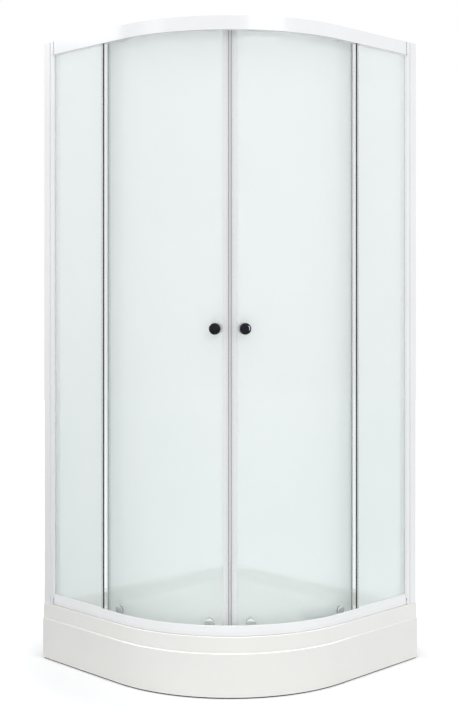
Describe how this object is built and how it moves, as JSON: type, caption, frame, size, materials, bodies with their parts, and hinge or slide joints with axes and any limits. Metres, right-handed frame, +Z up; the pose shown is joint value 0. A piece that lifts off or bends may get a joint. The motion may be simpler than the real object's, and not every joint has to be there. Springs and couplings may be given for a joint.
{
  "type": "corner shower enclosure",
  "caption": "Quadrant corner shower enclosure: raised white tray with a curved skirt, curved rails, flat fixed glass and curved glass doors that roll apart round the front.",
  "frame": {"origin": "on the floor under the middle of the 900 by 900 mm square footprint", "axes": "+Z up, +Y towards the back wall, -X towards the left wall; the curved front faces +X and -Y"},
  "size_m": [0.9, 0.9, 2.09],
  "materials": {
    "acrylic_white": "glossy white acrylic, lightly crowned reflections",
    "skirt_white": "glossy white skirt panel",
    "profile_white": "smooth white powder coat, semi-gloss",
    "cap_white": "moulded white plastic, semi-gloss",
    "pale_glass": "clear toughened glass with a pale green tint",
    "clear_seal": "soft translucent grey vinyl",
    "edge_rubber": "matt black rubber",
    "gasket_rubber": "matt grey rubber",
    "magnet_black": "matt black magnetic rubber",
    "dark_chrome": "polished dark chrome",
    "roller_chrome": "bright plated plastic",
    "wheel_nylon": "white nylon, slightly worn tread",
    "zinc_steel": "zinc plated steel",
    "frame_paint": "grey powder coat over steel tube",
    "foot_rubber": "matt black rubber",
    "waste_chrome": "polished chrome",
    "waste_plastic": "white moulded polypropylene"
  },
  "bodies": {
    "enclosure": {"tray": "acrylic_white", "apron": "skirt_white", "apron_brackets": "zinc_steel", "apron_screws": "zinc_steel", "tray_frame": "frame_paint", "leg_studs": "zinc_steel", "leg_nuts": "zinc_steel", "foot_pads": "foot_rubber", "waste_flange": "waste_chrome", "waste_cover": "waste_chrome", "waste_gasket": "gasket_rubber", "waste_trap": "waste_plastic", "wall_profile_left": "profile_white", "wall_profile_right": "profile_white", "side_post_left": "profile_white", "side_post_right": "profile_white", "top_rail": "profile_white", "bottom_rail": "profile_white", "rail_end_caps": "cap_white", "frame_screws": "zinc_steel", "door_stops": "gasket_rubber", "fixed_glass_left": "pale_glass", "fixed_glass_right": "pale_glass", "glazing_gaskets": "gasket_rubber", "fixed_edge_seals": "edge_rubber"},
    "left_door": {"left_door_glass": "pale_glass", "left_magnet_seal": "clear_seal", "left_magnet_strip": "magnet_black", "left_edge_seal": "clear_seal", "left_outer_knob": "dark_chrome", "left_inner_knob": "dark_chrome", "left_knob_stud": "zinc_steel", "left_top_hangers": "zinc_steel", "left_top_axles": "zinc_steel", "left_bottom_rollers": "roller_chrome", "left_bottom_roller_nuts": "roller_chrome"},
    "left_top_wheel_1": {"left_top_wheel_1": "wheel_nylon"},
    "left_bottom_wheel_1": {"left_bottom_wheel_1": "wheel_nylon"},
    "left_bottom_plunger_1": {"left_bottom_plunger_1": "zinc_steel"},
    "left_top_wheel_2": {"left_top_wheel_2": "wheel_nylon"},
    "left_bottom_wheel_2": {"left_bottom_wheel_2": "wheel_nylon"},
    "left_bottom_plunger_2": {"left_bottom_plunger_2": "zinc_steel"},
    "right_door": {"right_door_glass": "pale_glass", "right_magnet_seal": "clear_seal", "right_magnet_strip": "magnet_black", "right_edge_seal": "clear_seal", "right_outer_knob": "dark_chrome", "right_inner_knob": "dark_chrome", "right_knob_stud": "zinc_steel", "right_top_hangers": "zinc_steel", "right_top_axles": "zinc_steel", "right_bottom_rollers": "roller_chrome", "right_bottom_roller_nuts": "roller_chrome"},
    "right_top_wheel_1": {"right_top_wheel_1": "wheel_nylon"},
    "right_bottom_wheel_1": {"right_bottom_wheel_1": "wheel_nylon"},
    "right_bottom_plunger_1": {"right_bottom_plunger_1": "zinc_steel"},
    "right_top_wheel_2": {"right_top_wheel_2": "wheel_nylon"},
    "right_bottom_wheel_2": {"right_bottom_wheel_2": "wheel_nylon"},
    "right_bottom_plunger_2": {"right_bottom_plunger_2": "zinc_steel"}
  },
  "joints": [
    {"name": "left_door_travel", "type": "hinge", "parent": "enclosure", "child": "left_door", "pos_m": [-0.196, 0.4, 0.19], "axis": [0, 0, -1], "range_deg": [0, 17]},
    {"name": "left_top_wheel_1_roll", "type": "hinge", "parent": "left_door", "child": "left_top_wheel_1", "pos_m": [-0.09, -0.41825, 2.0738], "axis": [0, -1, 0], "range_deg": [0, 1230]},
    {"name": "left_plunger_1_lift", "type": "slide", "parent": "left_door", "child": "left_bottom_plunger_1", "axis": [0, 0, 1], "range_m": [0, 0.006], "stiffness_N_per_m": 300, "springref_m": -0.01},
    {"name": "left_bottom_wheel_1_roll", "type": "hinge", "parent": "left_bottom_plunger_1", "child": "left_bottom_wheel_1", "pos_m": [-0.09, -0.41825, 0.2013], "axis": [0, -1, 0], "range_deg": [0, 1570]},
    {"name": "left_top_wheel_2_roll", "type": "hinge", "parent": "left_door", "child": "left_top_wheel_2", "pos_m": [0.2318, -0.32396, 2.0738], "axis": [0.6018, -0.7986, 0], "range_deg": [0, 1260]},
    {"name": "left_plunger_2_lift", "type": "slide", "parent": "left_door", "child": "left_bottom_plunger_2", "axis": [0, 0, 1], "range_m": [0, 0.006], "stiffness_N_per_m": 300, "springref_m": -0.01},
    {"name": "left_bottom_wheel_2_roll", "type": "hinge", "parent": "left_bottom_plunger_2", "child": "left_bottom_wheel_2", "pos_m": [0.2318, -0.32396, 0.2013], "axis": [0.6018, -0.7986, 0], "range_deg": [0, 1600]},
    {"name": "right_door_travel", "type": "hinge", "parent": "enclosure", "child": "right_door", "pos_m": [-0.4, 0.196, 0.19], "axis": [0, 0, 1], "range_deg": [0, 17]},
    {"name": "right_top_wheel_1_roll", "type": "hinge", "parent": "right_door", "child": "right_top_wheel_1", "pos_m": [0.41825, 0.09, 2.0738], "axis": [1, 0, 0], "range_deg": [-1230, 0]},
    {"name": "right_plunger_1_lift", "type": "slide", "parent": "right_door", "child": "right_bottom_plunger_1", "axis": [0, 0, 1], "range_m": [0, 0.006], "stiffness_N_per_m": 300, "springref_m": -0.01},
    {"name": "right_bottom_wheel_1_roll", "type": "hinge", "parent": "right_bottom_plunger_1", "child": "right_bottom_wheel_1", "pos_m": [0.41825, 0.09, 0.2013], "axis": [1, 0, 0], "range_deg": [-1570, 0]},
    {"name": "right_top_wheel_2_roll", "type": "hinge", "parent": "right_door", "child": "right_top_wheel_2", "pos_m": [0.32396, -0.2318, 2.0738], "axis": [0.7986, -0.6018, 0], "range_deg": [-1260, 0]},
    {"name": "right_plunger_2_lift", "type": "slide", "parent": "right_door", "child": "right_bottom_plunger_2", "axis": [0, 0, 1], "range_m": [0, 0.006], "stiffness_N_per_m": 300, "springref_m": -0.01},
    {"name": "right_bottom_wheel_2_roll", "type": "hinge", "parent": "right_bottom_plunger_2", "child": "right_bottom_wheel_2", "pos_m": [0.32396, -0.2318, 0.2013], "axis": [0.7986, -0.6018, 0], "range_deg": [-1600, 0]}
  ],
  "couplings": [
    {"joint": "left_top_wheel_1_roll", "follows": "left_door_travel", "ratio": 71.747},
    {"joint": "left_bottom_wheel_1_roll", "follows": "left_door_travel", "ratio": 91.676},
    {"joint": "left_top_wheel_2_roll", "follows": "left_door_travel", "ratio": 73.123},
    {"joint": "left_bottom_wheel_2_roll", "follows": "left_door_travel", "ratio": 93.435},
    {"joint": "right_top_wheel_1_roll", "follows": "right_door_travel", "ratio": -71.747},
    {"joint": "right_bottom_wheel_1_roll", "follows": "right_door_travel", "ratio": -91.676},
    {"joint": "right_top_wheel_2_roll", "follows": "right_door_travel", "ratio": -73.123},
    {"joint": "right_bottom_wheel_2_roll", "follows": "right_door_travel", "ratio": -93.435}
  ]
}
